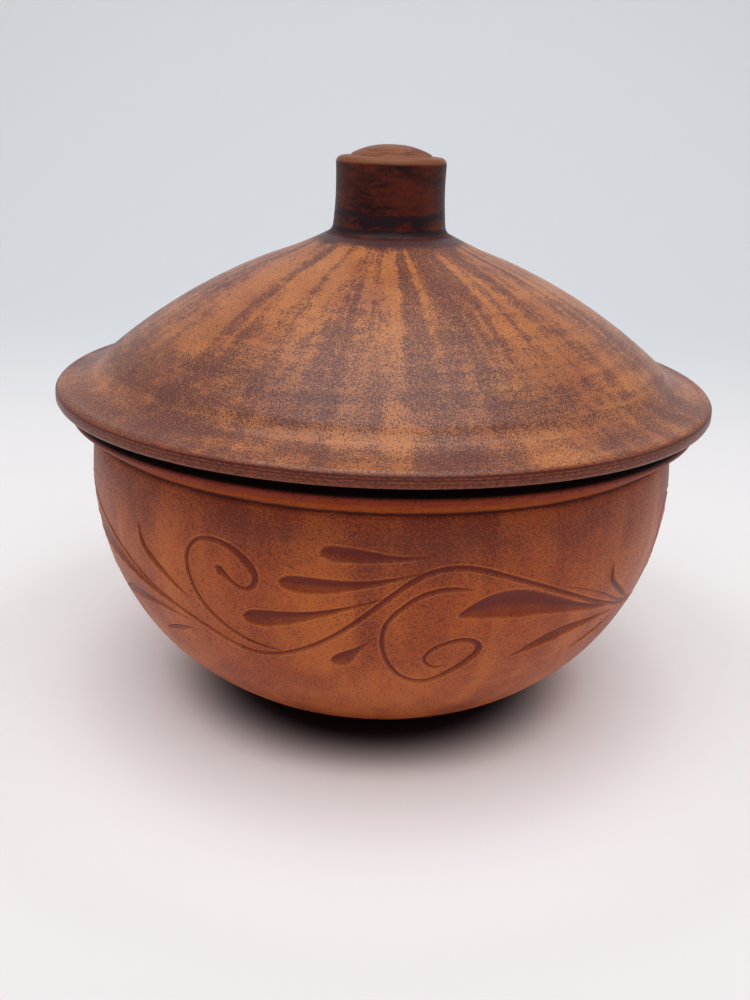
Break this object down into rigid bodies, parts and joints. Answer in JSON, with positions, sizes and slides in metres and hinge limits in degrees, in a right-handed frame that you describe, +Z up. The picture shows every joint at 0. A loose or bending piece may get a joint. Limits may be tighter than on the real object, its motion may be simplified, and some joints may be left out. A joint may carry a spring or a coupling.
{
  "type": "clay cocotte",
  "caption": "Round-bellied clay cocotte with carved scrollwork under a flared lip, and a domed lid with a turned knob and broad brim.",
  "frame": {"origin": "middle of the pot's foot, on the surface that it stands on", "axes": "+Z up along the axis of turning, -Y towards the side shown in the picture"},
  "size_m": [0.23, 0.23, 0.1952],
  "materials": {
    "pot_clay": "satin fired red clay with smoky purple-brown mottling",
    "lid_clay": "satin fired red clay with smoky streaks running down from the knob"
  },
  "bodies": {
    "root": {"pot": "pot_clay", "lid": "lid_clay"}
  },
  "joints": []
}
